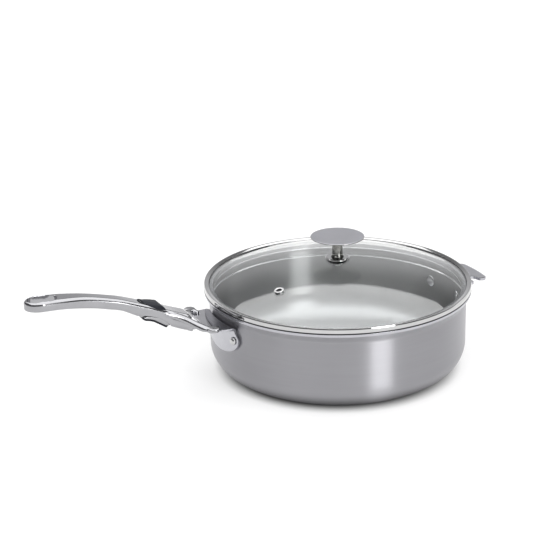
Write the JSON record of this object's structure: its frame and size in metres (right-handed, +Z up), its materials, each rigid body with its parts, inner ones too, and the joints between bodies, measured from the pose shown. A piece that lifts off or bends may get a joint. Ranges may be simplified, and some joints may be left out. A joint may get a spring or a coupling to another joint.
{
  "type": "saute pan with glass lid",
  "caption": "Straight-walled steel saute pan with a domed glass lid, a disc knob, a detachable handle with trigger and release button, and a side grip.",
  "frame": {"origin": "middle of the pan's flat base, at the height it stands on", "axes": "+Z up along the pan's axis, -X along the handle, +X towards the side grip"},
  "size_m": [0.4535, 0.2492, 0.1254],
  "materials": {
    "satin_steel": "satin",
    "bright_steel": "polished",
    "spring_steel": "satin",
    "clear_glass": "clear",
    "black_plastic": "matte",
    "silicone": "matte"
  },
  "bodies": {
    "pan": {"pan_body": "satin_steel", "handle_bracket": "satin_steel", "side_grip": "satin_steel", "grip_rivet_front": "bright_steel", "grip_rivet_rear": "bright_steel", "handle_rivet_rear": "bright_steel", "handle_rivet_front": "bright_steel"},
    "lid": {"lid_glass": "clear_glass", "lid_band": "bright_steel", "vent_eyelet": "bright_steel", "knob_disc": "satin_steel", "knob_stem": "bright_steel", "knob_flange": "bright_steel", "knob_upper_gasket": "silicone", "knob_lower_gasket": "silicone", "knob_washer": "bright_steel", "knob_screw": "bright_steel"},
    "handle": {"handle_body": "bright_steel", "latch_leaf": "spring_steel", "trigger_pin": "bright_steel", "button_spring": "spring_steel"},
    "trigger": {"trigger": "black_plastic"},
    "button": {"release_button": "black_plastic", "button_clip": "spring_steel"}
  },
  "joints": [
    {"name": "lid_lift", "type": "slide", "parent": "pan", "child": "lid", "axis": [0, 0, 1], "range_m": [0, 0.1]},
    {"name": "handle_detach", "type": "slide", "parent": "pan", "child": "handle", "axis": [0, 0, 1], "range_m": [0, 0.06], "deforming": ["latch_leaf"]},
    {"name": "trigger_pull", "type": "hinge", "parent": "handle", "child": "trigger", "pos_m": [-0.163, 0, 0.0755], "axis": [0, 1, 0], "range_deg": [0, 6], "stiffness_Nm_per_rad": 0.05, "springref_deg": -11.46, "deforming": ["latch_leaf"]},
    {"name": "button_slide", "type": "slide", "parent": "handle", "child": "button", "axis": [0.9285, 0, -0.3714], "range_m": [0, 0.004], "stiffness_N_per_m": 250, "springref_m": -0.004, "deforming": ["button_spring"]}
  ]
}
